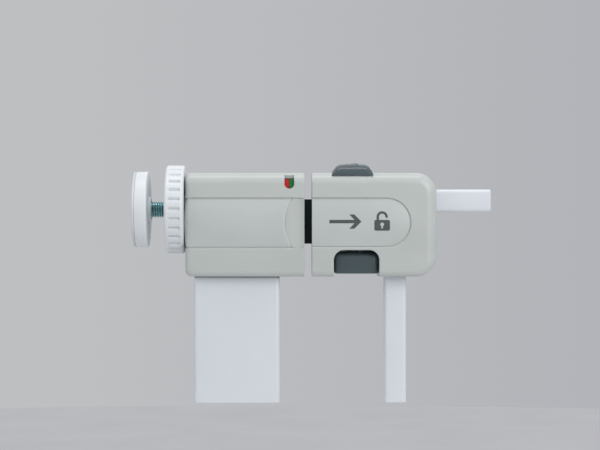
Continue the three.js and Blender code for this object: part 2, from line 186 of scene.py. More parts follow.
def join(obj, *others):
    """Adds the other meshes to obj, as separate shells of one piece."""
    bm = bmesh.new()
    bm.from_mesh(obj.data)
    for other in others:
        bm.from_mesh(other.data)
        bpy.data.objects.remove(other)
    bm.to_mesh(obj.data)
    bm.free()
    return obj


def round_rect(x0, x1, z0, z1, radii, n=8):
    """A rounded rectangle; its corners and radii run anticlockwise from the lower left."""
    corners = [(x0, z0, 1, 1), (x1, z0, -1, 1), (x1, z1, -1, -1), (x0, z1, 1, -1)]
    points = []
    for i, (x, z, sx, sz) in enumerate(corners):
        r = max(radii[i], 0.02)
        for k in range(n + 1):
            angle = math.radians(180 + 90 * i + 90 * k / n)
            points.append((x + sx * r + r * math.cos(angle), z + sz * r + r * math.sin(angle)))
    return points


def offset(points, distance):
    """The closed outline moved outwards by a distance; points run anticlockwise."""
    n = len(points)
    moved = []
    for i in range(n):
        ax, az = points[i - 1]
        bx, bz = points[i]
        cx, cz = points[(i + 1) % n]
        n1 = Vector((bz - az, ax - bx)).normalized()
        n2 = Vector((cz - bz, bx - cx)).normalized()
        half = n1 + n2
        scale = distance / max(0.35, half.length_squared / 2)
        moved.append((bx + half.x * scale, bz + half.y * scale))
    return moved


def prism_y(name, points, depths):
    """An outline swept along Y; depths is a list of (y, outward offset)."""
    return loft(name, [[(x, y, z) for x, z in offset(points, d)] for y, d in depths])


def arc(x, z, r, start, end, n):
    """Points of an arc in degrees, both ends included."""
    step = (end - start) / n
    angles = [math.radians(start + step * k) for k in range(n + 1)]
    return [(x + r * math.cos(a), z + r * math.sin(a)) for a in angles]


def inset(radius, depth):
    """How far a rounded edge draws in at a depth below the face."""
    if depth >= radius:
        return 0.0
    return radius - math.sqrt(radius * radius - (radius - depth) ** 2)


def ease(t):
    """A smooth step from 0 to 1, held at both ends."""
    t = min(1.0, max(0.0, t))
    return t * t * (3 - 2 * t)


# ---------------------------------------------------------------- materials


def material(name, colour, rough, metallic=0.0):
    """A node material, with its tree and its main shader."""
    m = bpy.data.materials.new(name)
    m.use_nodes = True
    shader = m.node_tree.nodes["Principled BSDF"]
    shader.inputs["Base Color"].default_value = (*colour, 1)
    shader.inputs["Roughness"].default_value = rough
    shader.inputs["Metallic"].default_value = metallic
    return m, m.node_tree, shader


def noise(tree, scale, detail=3.0, rough=0.5, stretch=None):
    """Noise in the piece's own coordinates, stretched or not."""
    node = tree.nodes.new("ShaderNodeTexNoise")
    node.inputs["Scale"].default_value = scale
    node.inputs["Detail"].default_value = detail
    node.inputs["Roughness"].default_value = rough
    coord = tree.nodes.new("ShaderNodeTexCoord")
    if stretch:
        mapping = tree.nodes.new("ShaderNodeMapping")
        mapping.inputs["Scale"].default_value = stretch
        tree.links.new(coord.outputs["Object"], mapping.inputs["Vector"])
        tree.links.new(mapping.outputs["Vector"], node.inputs["Vector"])
    else:
        tree.links.new(coord.outputs["Object"], node.inputs["Vector"])
    return node


def ramp(tree, source, low, high, stops=(0.35, 0.65)):
    """A colour that goes from low to high between two values of the source."""
    node = tree.nodes.new("ShaderNodeValToRGB")
    for element, position, colour in zip(node.color_ramp.elements, stops, (low, high)):
        element.position = position
        element.color = (*colour, 1)
    tree.links.new(source, node.inputs["Fac"])
    return node.outputs["Color"]


def spread(tree, source, low, high):
    """A number that goes from low to high as the source goes from 0 to 1."""
    node = tree.nodes.new("ShaderNodeMapRange")
    node.inputs["To Min"].default_value = low
    node.inputs["To Max"].default_value = high
    tree.links.new(source, node.inputs["Value"])
    return node.outputs["Result"]


def bump(tree, shader, source, strength, distance, edge=0.0):
    """Fine relief from the source, over edges that look softened by the radius edge."""
    node = tree.nodes.new("ShaderNodeBump")
    node.inputs["Strength"].default_value = strength
    node.inputs["Distance"].default_value = distance
    tree.links.new(source, node.inputs["Height"])
    if edge:
        bevel = tree.nodes.new("ShaderNodeBevel")
        bevel.samples = 4
        bevel.inputs["Radius"].default_value = edge
        tree.links.new(bevel.outputs["Normal"], node.inputs["Normal"])
    tree.links.new(node.outputs["Normal"], shader.inputs["Normal"])


def tint(colour, factor):
    """The colour made lighter or darker."""
    return tuple(min(1.0, c * factor) for c in colour)


def moulded(name, colour, rough=0.42, grain=0.25, edge=0.0003, vary=0.03, coat=0.0):
    """Moulded plastic: fine spark-eroded grain, faint flow marks and softened edges."""
    m, tree, shader = material(name, colour, rough)
    flow = noise(tree, 28, 2, 0.5, (0.6, 1.0, 1.4))
    tree.links.new(
        ramp(tree, flow.outputs["Fac"], tint(colour, 1 - vary), tint(colour, 1 + vary)),
        shader.inputs["Base Color"],
    )
    haze = noise(tree, 160, 3)
    tree.links.new(
        spread(tree, haze.outputs["Fac"], rough - 0.05, rough + 0.06), shader.inputs["Roughness"]
    )
    fine = noise(tree, 3800, 2, 0.6)
    bump(tree, shader, fine.outputs["Fac"], grain, 0.00004, edge)
    shader.inputs["Coat Weight"].default_value = coat
    shader.inputs["IOR"].default_value = 1.48
    return m


def coated(name, colour, rough):
    """Powder-coated steel: a faint orange peel with a soft gloss."""
    m, tree, shader = material(name, colour, rough)
    cloud = noise(tree, 20, 2)
    tree.links.new(
        ramp(tree, cloud.outputs["Fac"], tint(colour, 0.985), tint(colour, 1.015)),
        shader.inputs["Base Color"],
    )
    peel = noise(tree, 900, 2, 0.4)
    tree.links.new(
        spread(tree, peel.outputs["Fac"], rough - 0.04, rough + 0.05), shader.inputs["Roughness"]
    )
    bump(tree, shader, peel.outputs["Fac"], 0.3, 0.00006, 0.0003)
    shader.inputs["Coat Weight"].default_value = 0.25
    shader.inputs["Coat Roughness"].default_value = 0.15
    return m


def metal(name, colour, rough, stretch, scale):
    """Bare or plated steel with a fine directional finish."""
    m, tree, shader = material(name, colour, rough, 1.0)
    streak = noise(tree, scale, 4, 0.6, stretch)
    tree.links.new(
        ramp(tree, streak.outputs["Fac"], tint(colour, 0.82), tint(colour, 1.12)),
        shader.inputs["Base Color"],
    )
    tree.links.new(
        spread(tree, streak.outputs["Fac"], rough - 0.08, rough + 0.12), shader.inputs["Roughness"]
    )
    bump(tree, shader, streak.outputs["Fac"], 0.25, 0.00004)
    return m


SHELL = moulded("shell_plastic", (0.455, 0.484, 0.466), 0.36, 0.2)
PANEL = moulded("panel_plastic", (0.470, 0.500, 0.486), 0.34, 0.16, 0.0002)
WHITE = moulded("white_plastic", (0.66, 0.69, 0.71), 0.40, 0.12, 0.0003, 0.012)
TUBES = coated("powder_coat", (0.64, 0.675, 0.71), 0.34)
SLATE = moulded("slate_plastic", (0.054, 0.077, 0.085), 0.30, 0.25, 0.0004, 0.06)
BLACK = moulded("tongue_plastic", (0.004, 0.013, 0.018), 0.42, 0.25, 0.0003, 0.08)
GUIDE = moulded("guide_plastic", (0.26, 0.28, 0.29), 0.45)
RED = moulded("red_plastic", (0.68, 0.008, 0.012), 0.38, 0.15, 0.0001)
GREEN = moulded("green_plastic", (0.002, 0.25, 0.045), 0.38, 0.15, 0.0001)
RUBBER = moulded("grip_rubber", (0.58, 0.60, 0.62), 0.65, 0.7, 0.0004, 0.05)
ZINC = metal("zinc_plate", (0.22, 0.40, 0.42), 0.26, (0.3, 1, 1), 900)
STEEL = metal("plain_steel", (0.50, 0.52, 0.53), 0.34, (1, 1, 1), 700)
PRINT = moulded("print_grey", (0.062, 0.072, 0.075), 0.5, 0.1, 0.0, 0.02)

# The tongue is duller than the other plastics.
BLACK.node_tree.nodes["Principled BSDF"].inputs["Specular IOR Level"].default_value = 0.25


def clear_plastic():
    """A thin clear window: mostly see-through, with a faint gloss and fine scratches."""
    m, tree, shader = material("clear_plastic", (0.05, 0.06, 0.06), 0.06)
    shader.inputs["Alpha"].default_value = 0.08
    shader.inputs["IOR"].default_value = 1.3
    scratch = noise(tree, 700, 2, 0.5, (1, 1, 0.2))
    tree.links.new(spread(tree, scratch.outputs["Fac"], 0.03, 0.12), shader.inputs["Roughness"])
    return m


CLEAR = clear_plastic()


def dress(obj, mat):
    """Makes this the object's only material."""
    obj.data.materials.clear()
    obj.data.materials.append(mat)
    return obj


def place(obj, body, mat, slot, *nodes):
    """Gives a piece its material and its body, and hides the CAD nodes it stands for. The slot argument is
    not used.
    """
    dress(obj, mat)
    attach(obj, body)
    if nodes:
        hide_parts(*nodes)
    return obj


# ---------------------------------------------------------------- turned pieces


def turned(profile, n):
    """A closed profile of (x, radius) turned about the spindle's axis."""
    angles = [2 * math.pi * k / n for k in range(n)]
    return [[(x, r * math.cos(a), r * math.sin(a)) for a in angles] for x, r in profile]


def fillet(points, radii, n=5):
    """A polyline with each inner corner rounded by its radius, tangent to both sides."""
    out = [points[0]]
    for i in range(1, len(points) - 1):
        p, r = Vector(points[i]), radii[i - 1]
        a = (Vector(points[i - 1]) - p).normalized()
        b = (Vector(points[i + 1]) - p).normalized()
        angle = a.angle(b)
        if r <= 0 or angle > 3.1:  # a sharp corner, or none at all
            out.append(tuple(p))
            continue
        reach = r / math.tan(angle / 2)
        centre = p + (a + b).normalized() * (r / math.sin(angle / 2))
        first, last = p + a * reach - centre, p + b * reach - centre
        start = math.atan2(first.y, first.x)
        sweep = (math.atan2(last.y, last.x) - start + math.pi) % (2 * math.pi) - math.pi
        for k in range(n + 1):
            t = start + sweep * k / n
            out.append((centre.x + r * math.cos(t), centre.y + r * math.sin(t)))
    out.append(points[-1])
    return out


def fillet_closed(corners, radii, n):
    """A closed outline with every corner rounded by its radius."""
    return fillet(corners[-1:] + corners + corners[:1], radii, n)[1:-1]


def wall_pad():
    """The wall pad: a disc with a short hub that the spindle stands in."""
    outline = fillet(
        [(1.7, 0.3), (1.7, 23.4), (9.1, 23.75), (9.1, 8.0), (10.9, 7.2), (11, 5.3), (2.6, 5.3), (2.6, 0.3)],
        [0.5, 1.0, 0.8, 0.5, 0.4, 0.3],
    )
    return loft("wall_pad_moulding", turned(outline, 128))


def pad_rubber():
    """A grip disc with shallow rings pressed into its wall side."""
    depth, slope, land, floor = 0.35, 0.3, 1.6, 0.7
    outline = [(1.65, 0.3), (1.65, 23.1), (1.4, 23.3), (0.3, 23.3)]
    for k in range(6):
        r = 22.4 - 3.2 * k
        outline += [(0.0, r - slope), (0.0, r - slope - land)]
        outline += [(depth, r - 2 * slope - land), (depth, r - 2 * slope - land - floor)]
    outline += [(0.0, 3.0), (0.0, 0.3)]
    return loft("wall_pad_grip", turned(outline, 96))


def thread():
    """The spindle's M10 x 1.5 thread, cut as one helix, with a chamfered far end."""
    pitch, major, minor, tip = 1.5, 4.98, 4.0, 3.6
    crest, flank = 0.12, 0.5
    around, along = 36, 12
    start, end = 2.95, 78.0
    steps = int((end - start) / pitch * along)
    loops = []
    for i in range(steps + 1):
        x = start + (end - start) * i / steps
        limit = min(major, tip + end - x)
        loop = []
        for k in range(around):
            a = 2 * math.pi * k / around
            tooth = abs((x / pitch - k / around) % 1.0 * 2 - 1)
            height = min(1.0, max(0.0, (tooth - crest) / flank))
            r = min(limit, minor + (major - minor) * height)
            loop.append((x, r * math.cos(a), r * math.sin(a)))
        loops.append(loop)
    return loft("spindle_thread", loops)


def hand_wheel():
    """The wheel: a rim with grooves pressed across it, a ring on its left face and a nut pocket."""
    ribs, points_a_rib = 28, 16
    around = ribs * points_a_rib
    rim_radius, rim_spacing = 26.9, 0.4
    groove_left, groove_right, run_out = 22.6, 30.3, 0.9
    groove_width, groove_depth, hollow_depth = 0.42, 1.1, 0.35
    outline = fillet(
        [(20.6, 5.6), (20.6, 12.5), (21.3, 13.2), (21.3, 21.0), (20.4, 21.8), (20.4, 26.9),
         (21.6, 27.5), (32.1, 27.5), (32.1, 12.6), (30.8, 12.2), (30.8, 5.6)],
        [0.5, 0.5, 0.4, 0.4, 1.3, 0.8, 1.9, 0.4, 0.3],
        8,
    )
    dense = []
    for (x0, r0), (x1, r1) in zip(outline, outline[1:]):
        length = math.hypot(x1 - x0, r1 - r0)
        parts = max(1, int(length / rim_spacing)) if min(r0, r1) > rim_radius else 1
        for k in range(parts):
            dense.append((x0 + (x1 - x0) * k / parts, r0 + (r1 - r0) * k / parts))
    dense.append(outline[-1])
    loops = []
    for x, r in dense:
        entering = min(1.0, max(0.0, (x - groove_left) / run_out))
        leaving = min(1.0, max(0.0, (groove_right - x) / run_out))
        across = ease(entering * leaving) if r > rim_radius + 0.1 else 0.0
        loop = []
        for k in range(around):
            a = 2 * math.pi * k / around
            near = abs((k / points_a_rib + 0.5) % 1.0 - 0.5) * 2
            depth = across * (groove_depth * ease(1 - near / groove_width) + hollow_depth * (1 - near) ** 2)
            loop.append((x, (r - depth) * math.cos(a), (r - depth) * math.sin(a)))
        loops.append(loop)
    wheel = ring("hand_wheel_rim", loops)
    nut_radius = 9.9
    corners = [math.pi * k / 3 for k in range(6)]
    hexagon = [(nut_radius * math.cos(a), nut_radius * math.sin(a)) for a in corners]
    pocket = loft("tool", [[(x, y, z) for y, z in hexagon] for x in (22.3, 32.0)])
    return cut(wheel, pocket)


# ---------------------------------------------------------------- housings


def outer_loops(x0, x1, left_round, right_round, radii, sign):
    """Loops of one half of a housing, from the parting plane out to its face."""
    depths = [HALF - PARTING, 14.0, 10.5, 8.0]
    depths += [TOP_ROUND * (1 - math.sin(math.radians(a))) for a in range(0, 91, 6)]
    loops = []
    for d in depths:
        top, under = inset(TOP_ROUND, d), inset(UNDER_ROUND, d)
        left, right = inset(left_round, d), inset(right_round, d)
        draws = [max(left, under), max(right, under), max(right, top), max(left, top)]
        corner = [max(0.3, r - draw * (1 if r > TOP_ROUND else 0.25)) for r, draw in zip(radii, draws)]
        outline = round_rect(x0 + left, x1 - right, BOTTOM + under, TOP - top, corner, 12)
        loops.append([(x, sign * (HALF - d), z) for x, z in outline])
    return loops


def cavity(x0, x1, radii, sign):
    """The hollow inside one half of a housing, with its inner edges rounded."""
    low, high, rounding = BOTTOM + 2.2, TOP - 2.2, 4.5
    loops = []
    for y in (-2.0, 11.7, 13.4, 14.9, 15.8, INNER_FACE):
        draw = inset(rounding, INNER_FACE - y)
        corner = [max(0.2, r - draw) for r in radii]
        outline = round_rect(x0 + draw, x1 - draw, low + draw, high - draw, corner, 8)
        loops.append([(x, sign * y, z) for x, z in outline])
    return loft("tool", loops)


def window_outline():
    """The indicator's window: round at the bottom, open at the top edge."""
    centre = WINDOW_BOTTOM + WINDOW_HALF
    sides = [(WINDOW_X + WINDOW_HALF, 30), (WINDOW_X - WINDOW_HALF, 30)]
    return arc(WINDOW_X, centre, WINDOW_HALF, 180, 360, 20) + sides


def panel_outline(left):
    """The centre band's outline, from a given left end to its hollow right end."""
    angle = math.degrees(math.asin(BAND_HALF / PANEL_ARC_R))
    hollow = arc(PANEL_ARC_X, BAND_MID, PANEL_ARC_R, 180 + angle, 180 - angle, 28)
    return [(left, BAND_BOTTOM)] + hollow + [(left, BAND_TOP)]


def add_screw_wells(body, screws):
    """Rear bosses, each with a screw hole and a counterbore for its head."""
    for x, z in screws:
        cut(body, cylinder("Y", 4.6, 12.0, 17.0, x, z, 40), operation="UNION")
    holes = [cylinder("Y", 1.7, 8, 22, x, z, 24) for x, z in screws]
    counterbores = [cylinder("Y", 3.3, 12.1, 22, x, z, 40) for x, z in screws]
    return cut(body, *holes, *counterbores)


def half_span(reach, sign):
    """The low and high Y of an opening that reaches this far from the middle, in one half only."""
    return (-reach, 1) if sign < 0 else (-1, reach)


def receiver_half(name, sign):
    """One half of the fixed housing, still solid."""
    radii = [3.8, 0.6, 0.6, 3.4]
    return loft(name, outer_loops(RECEIVER_LEFT, RECEIVER_RIGHT, RECEIVER_ROUND, 0.7, radii, sign))


def receiver_openings(sign):
    """The hollow, and the openings for the post, the tongue and the spindle."""
    return [
        cavity(35.2, 104.1, [4.6] * 4, sign),
        box(37.5, 91.3, *half_span(10.3, sign), -45, -38),
        box(101, 108, *half_span(8.9, sign), -22.2, 7.2),
        cylinder("X", 6.3, 32, 37, 0, 0, 64),
    ]


def scoop():
    """The shallow hollow between the centre band's end and the fixed housing's right edge."""
    section = [
        (93.4, -19.02), (97.5, -18.7), (100.8, -18.25), (102.8, -18.0), (103.9, -17.98),
        (104.8, -18.2), (105.6, -18.65), (RECEIVER_RIGHT, -19.02), (108, -19.6), (108, -25), (93.4, -25),
    ]
    return loft("tool", [[(x, y, z) for x, y in section] for z in (BAND_BOTTOM, BAND_TOP)])


def band_seat():
    """The seat of the centre band, a groove deep, which follows the rounded left end."""
    flare = [(-25, 0.5), (-19.02, 0.5), (-18.6, 0.0), (-14.4, 0.0)]
    outline = prism_y("tool", panel_outline(20), flare)
    centre_x, centre_y = RECEIVER_LEFT + RECEIVER_ROUND, RECEIVER_ROUND - HALF
    section = [(20, -25), (110, -25), (110, GROOVE_DEPTH - HALF)]
    section += arc(centre_x, centre_y, RECEIVER_ROUND - GROOVE_DEPTH, 270, 180, 8)
    section += [(RECEIVER_LEFT + GROOVE_DEPTH, -14.4), (20, -14.4)]
    above = loft("tool", [[(x, y, z) for x, y in section] for z in (-40, 20)])
    return cut(outline, above, operation="INTERSECT")


def receiver_front():
    """The fixed housing's front half, with the band's seat and the indicator's window."""
    body = receiver_half("receiver_front_moulding", -1)
    window = prism_y("tool", window_outline(), [(-30, 0.4), (-HALF, 0.4), (-18.5, 0), (-16.0, 0)])
    indicator_room = box(88.9, 104.9, -16.21, -12.8, 9.2, 19)
    return cut(body, *receiver_openings(-1), scoop(), band_seat(), window, indicator_room)


def receiver_rear():
    """The fixed housing's rear half, with a slot for the indicator's nose."""
    body = receiver_half("receiver_rear_moulding", 1)
    cut(body, *receiver_openings(1), box(101, 108, 10.6, 14.4, -4.4, 0.4))
    return add_screw_wells(body, RECEIVER_SCREWS)


def slab(name, front, back):
    """A closed sheet between two grids of points, given as rows of equal length."""
    r, n = len(front), len(front[0])
    base = r * n
    verts = [p for row in front + back for p in row]
    faces = []
    for i in range(r - 1):
        for k in range(n - 1):
            a, b = i * n + k, (i + 1) * n + k
            faces.append((a, a + 1, b + 1, b))
            faces.append((base + a, base + b, base + b + 1, base + a + 1))
    for i in range(r - 1):
        for k in (0, n - 1):
            a, b = i * n + k, (i + 1) * n + k
            faces.append((a, b, base + b, base + a))
    for k in range(n - 1):
        for i in (0, r - 1):
            a = i * n + k
            faces.append((a, a + 1, base + a + 1, base + a))
    return make(name, verts, faces)


def band_panel():
    """The crowned centre band; its left end rolls over with the housing, its right end is an arc."""
    half, crown, sink = BAND_HALF - GROOVE, 1.30, 0.42
    rim, rim_drop = 0.955, 0.3
    thickness = HALF + PANEL_BACK
    centre_x, centre_y = RECEIVER_LEFT + RECEIVER_ROUND, RECEIVER_ROUND - HALF
    turn = arc(centre_x, centre_y, RECEIVER_ROUND, 180, 270, 9)
    edge_rows = (0.78, 0.87, 0.93, 0.965, 0.99, 1)
    rows = [-across for across in reversed(edge_rows)]
    rows += [-0.65 + 0.13 * k for k in range(11)]
    rows += edge_rows
    roll_off = [(2.6, 0), (1.7, 0.03), (1.1, 0.1), (0.65, 0.24), (0.35, 0.42), (0.1, 0.72)]
    front, back = [], []
    for across in rows:
        z = BAND_MID + half * across
        right = PANEL_ARC_X - math.sqrt((PANEL_ARC_R - 0.3) ** 2 - (z - BAND_MID) ** 2)
        edge = max(0.0, abs(across) - rim) / (1 - rim)
        lift = crown * (1 - across * across) - sink - rim_drop * edge * edge
        path = [(RECEIVER_LEFT, -14.6, -1, 0), (RECEIVER_LEFT, -15.5, -1, 0)]
        for x, y in turn:
            path.append((x, y, (x - centre_x) / RECEIVER_ROUND, (y - centre_y) / RECEIVER_ROUND))
        path += [(centre_x + (right - centre_x) * k / 12, -HALF, 0, -1) for k in range(1, 12)]
        row = [(x + nx * lift, y + ny * lift, z) for x, y, nx, ny in path]
        under = [(x - nx * thickness, y - ny * thickness, z) for x, y, nx, ny in path]
        row += [(right - away, drop - HALF - lift, z) for away, drop in roll_off]
        under += [(right - away, PANEL_BACK, z) for away, drop in roll_off]
        front.append(row)
        back.append(under)
    return slab("receiver_centre_band", front, back)


def notch_outline(sign):
    """The trigger's window; its rear edge hangs lower, so nobody can see through above the trigger."""
    high = -25.2 if sign < 0 else -27.0
    return round_rect(NOTCH_LEFT, NOTCH_RIGHT, -60, high, [0.02, 0.02, 6.2, 6.2], 12)


def latch_half(name, sign):
    """One half of the gate housing, still solid."""
    return loft(name, outer_loops(LATCH_LEFT, LATCH_RIGHT, 0.5, TOP_ROUND, [0.5, 13, 13, 0.5], sign))


def latch_openings(sign):
    """The hollow, and the openings for the tongue, the tubes, the slider's neck and the trigger."""
    tube_span = half_span(7.3, sign)
    flare = [(30, 0.45), (19.02, 0.45), (18.8, 0.12), (18.4, 0.0), (-1, 0.0)]
    return [
        cavity(113.1, 185.8, [0.3, 10.8, 10.8, 0.3], sign),
        box(109, 114, *half_span(8.4, sign), -21.7, 6.7),
        box(155.3, 169.9, *tube_span, -60, -38),
        box(184, 200, *tube_span, -1.9, 12.7),
        box(125.5, 150.5, *half_span(4, sign), 18, 30),
        prism_y("tool", notch_outline(sign), [(sign * y, grow) for y, grow in flare]),
    ]


def pill_outline(left, gap, n):
    """The gate housing's panel outline, drawn in by a gap: straight at the left, round at the right."""
    r = PILL_HALF - gap
    return [(left, PILL_MID - r)] + arc(PILL_END_X, PILL_MID, r, -90, 90, n) + [(left, PILL_MID + r)]


def latch_front():
    """The gate housing's front half, with the pill-shaped panel's seat."""
    flare = [(-30, 0.45), (-19.02, 0.45), (-18.6, 0.0), (GROOVE_DEPTH - HALF, 0.0)]
    seat = prism_y("tool", pill_outline(90, 0, 40), flare)
    return cut(latch_half("latch_front_moulding", -1), *latch_openings(-1), seat)


def latch_rear():
    """The gate housing's rear half."""
    body = latch_half("latch_rear_moulding", 1)
    return add_screw_wells(cut(body, *latch_openings(1)), LATCH_SCREWS)


def pill_panel(name="latch_centre_panel", proud=0.0):
    """The crowned centre panel: nested outlines that rise from its rim to its middle."""
    reach = PILL_HALF - GROOVE
    left = LATCH_LEFT + 0.1
    rim, crown, rim_width, rim_drop = -18.55, 1.02, 0.36, 0.2
    loops = [[(x, PANEL_BACK, z) for x, z in pill_outline(left, GROOVE, 48)]]
    for s in (0, 0.06, 0.18, 0.36, 0.7, 1.3, 2.2, 3.4, 5.0, 7.0, 9.2, 11.4, 13.2, 14.3):
        rise = 1 - ((reach - s) / reach) ** 2.3
        edge = max(0.0, 1 - s / rim_width)
        y = rim - crown * rise + rim_drop * edge * edge - proud
        loops.append([(x, y, z) for x, z in pill_outline(left, GROOVE + s, 48)])
    return loft(name, loops)


def arrow_outline(x, z):
    """An arrow pointing away from the wall."""
    half = [(x, 1.05), (x + 15.4, 1.05), (x + 12.2, 4.4), (x + 15.3, 4.4), (x + 19.7, 0)]
    return [(a, z - b) for a, b in half] + [(a, z + b) for a, b in reversed(half[:-1])]


def hoop_outline(x, z, r, width, leg):
    """An open padlock's hoop: its left leg reaches the body, and its right leg is cut short."""
    outer, inner = r + width / 2, r - width / 2
    points = [(x - outer, z - leg)]
    points += arc(x, z, outer, 180, 0, 20)
    points += [(x + outer, z - leg / 4), (x + inner, z - leg / 4)]
    points += arc(x, z, inner, 0, 180, 20)
    points.append((x - inner, z - leg))
    return points


def pictogram():
    """Generic marks in place of the printed name: an arrow and an open padlock."""
    z, lock_x = -7.6, 154.0
    arrow = prism_y("opening_marks", arrow_outline(121.6, z), [(-22, 0), (-17, 0)])
    lock = prism_y("tool", round_rect(149.2, 158.8, z - 5.6, z + 1.0, [1.0] * 4, 6), [(-22, 0), (-17, 0)])
    hoop = prism_y("tool", hoop_outline(lock_x, z + 2.9, 2.7, 1.5, 2.0), [(-22, 0), (-17, 0)])
    keyhole = cylinder("Y", 1.15, -23, -16, lock_x, z - 1.7, 24)
    cut(lock, keyhole, box(lock_x - 0.5, lock_x + 0.5, -23, -16, z - 4.2, z - 1.7))
    marks = [cut(mark, pill_panel("tool", 0.035), operation="INTERSECT") for mark in (arrow, lock, hoop)]
    return join(*marks)


# ---------------------------------------------------------------- tubes


def tube(name, axis, a0, a1, b0, b1, low, high):
    """A rounded square tube along Z or X, with slightly eased cut ends."""
    radius, wall, bore_radius, ease_off = 2.2, 1.5, 0.8, 0.25

    def loop(t, shrink, r):
        outline = round_rect(a0 + shrink, a1 - shrink, b0 + shrink, b1 - shrink, [r] * 4, 8)
        return [(a, b, t) if axis == "Z" else (t, a, b) for a, b in outline]

    outside = [loop(low, ease_off, radius), loop(low + ease_off, 0, radius)]
    outside += [loop(high - ease_off, 0, radius), loop(high, ease_off, radius)]
    inside = [loop(high, wall, bore_radius), loop(low, wall, bore_radius)]
    return ring(name, outside + inside)


def frame_post():
    """The wide post: a flat tube with a slimmer neck that goes up into the housing."""
    left, right, half = 37.8, 91.0, 10.0
    shoulder, shoulder_round, neck_top = -41.7, 1.1, 17
    neck_in, wall, radius, ease_off = 1.3, 2.6, 2.4, 0.25

    def loop(z, shrink, r):
        outline = round_rect(left + shrink, right - shrink, shrink - half, half - shrink, [r] * 4, 8)
        return [(x, y, z) for x, y in outline]

    outside = [loop(POST_END, ease_off, radius), loop(POST_END + ease_off, 0, radius)]
    for k in range(7):
        a = math.radians(90 * k / 6)
        z = shoulder - shoulder_round * (1 - math.sin(a))
        outside.append(loop(z, shoulder_round * (1 - math.cos(a)), radius))
    outside += [loop(shoulder + 0.01, neck_in, 1.2), loop(neck_top, neck_in, 1.2)]
    inside = [loop(neck_top, wall, 0.8), loop(POST_END, wall, 0.8)]
    post = ring("frame_post_tube", outside + inside)
    spindle_hole = cylinder("X", 5.9, 36, 44, 0, 0, 40)
    screw_holes = [cylinder("Y", 1.8, -12, 12, x, z, 20) for x, z in RECEIVER_SCREWS]
    return cut(post, spindle_hole, *screw_holes)


# ---------------------------------------------------------------- tongue, slider, trigger


def tongue():
    """The tongue: a block with a wedge-shaped nose, a slot for the dog and a well for its spring."""
    corners = [(99, -3.6), (104, -8), (141, -8), (141, 8), (104, 8), (99, 3.6)]
    plan = fillet_closed(corners, [0.8, 1.2, 0.5, 0.5, 1.2, 0.8], 4)
    levels = [(-21.3, -0.5), (-21.15, -0.15), (-20.8, 0), (5.8, 0), (6.15, -0.15), (6.3, -0.5)]
    body = loft("tongue_moulding", [[(x, y, z) for x, y in offset(plan, d)] for z, d in levels])
    dog_slot = box(125.8, 131.6, -4.4, 4.4, -30, 10)
    spring_well = cylinder("X", 4.6, 134.5, 143, 0, -7.5, 40)
    return cut(body, dog_slot, spring_well)


def housing_profile(gap):
    """The gate housing's section across Y, grown by a gap, as a bar along X."""
    points = []
    for middle, start in ((HALF - TOP_ROUND, 0), (TOP_ROUND - HALF, 90)):
        points += arc(middle, TOP - TOP_ROUND, TOP_ROUND + gap, start, start + 90, 12)
    points += [(-HALF - gap, 0), (HALF + gap, 0)]
    return loft("tool", [[(x, y, z) for y, z in points] for x in (110, 170)])


def slider_cap():
    """The thumb slider: it spans the housing's top and hooks over both rounded edges."""
    base, top, ridge_top = 20.9, 27.9, 28.7
    corners = [
        (122.7, base), (149.3, base), (148.0, 23.9), (145.9, 26.9), (143.6, top), (140.0, top),
        (139.5, ridge_top), (138.3, ridge_top), (131.5, 28.1), (128.4, top), (126.2, 26.9), (123.9, 23.9),
    ]
    radii = [0.3, 0.3, 2.0, 2.0, 2.6, 0.0, 0.2, 0.3, 4.0, 2.0, 1.8, 2.0]
    profile = fillet_closed(corners, radii, 5)
    middle, half_length, tall = 136.0, 13.3, top - base
    squareness, end_taper, ridge_fade, deepest = 5.5, 0.1, 1.2, 6.2
    half = []
    for a in (0, 12, 22, 30, 36, 42, 47, 52, 56, 60, 64, 67, 70, 73, 76, 79, 82, 90):
        across = math.sin(math.radians(a))
        drop = tall * (1 - math.sqrt(1 - across ** squareness))
        half.append((SLIDER_HALF * across, min(deepest, drop)))
    sections = [(-y, drop) for y, drop in reversed(half[1:])] + half
    loops = []
    for y, drop in sections:
        wide = 1 - drop * end_taper / half_length
        high = 1 - drop / tall
        ridge = max(0.0, 1 - drop / ridge_fade)
        loop = []
        for x, z in profile:
            body_z = min(z, top)
            raised = base + (body_z - base) * high + (z - body_z) * ridge
            loop.append((middle + (x - middle) * wide, y, raised))
        loops.append(loop)
    cap = cut(loft("thumb_slider_cap", loops), housing_profile(0.3))
    neck = box(126, 138, -3.5, 3.5, 17.5, 24)
    return cut(cap, neck, operation="UNION")


def trigger_body():
    """The trigger's grip: softened corners, a bowed front and rear, and a finger hollow at the top."""
    middle, half_front, front, bow = 138.35, 11.9, -14.9, 0.3

    def outline(shrink, hollow):
        face = []
        for k in range(13):
            u = -1 + k / 6
            x = middle + u * (half_front - shrink * 0.6)
            face.append((x, front + hollow + shrink * 0.35 + bow * u * u))
        right = [(151.45 - shrink, hollow - 13.9), (151.95 - shrink, hollow - 12.8)]
        left = [(124.75 + shrink, hollow - 12.8), (125.25 + shrink, hollow - 13.9)]
        half = left + face + right
        return half + [(x, -y) for x, y in reversed(half)]

    softened = [(-39.7, 1.3), (-39.62, 0.85), (-39.4, 0.4), (-39.05, 0.12), (-38.6, 0), (-34, 0)]
    hollowed = [(-31, 0.05), (-29.6, 0.25), (-28.6, 0.6), (-27.8, 1.1), (-27.1, 1.8), (-26.5, 2.7)]
    levels = [(z, shrink, 0) for z, shrink in softened] + [(z, 0, hollow) for z, hollow in hollowed]
    loops = [[(x, y, z) for x, y in outline(shrink, hollow)] for z, shrink, hollow in levels]
    flange = box(122.7, 154, -11.6, 11.6, -28.6, -26.6)
    return cut(loft("finger_trigger_grip", loops), flange, operation="UNION")


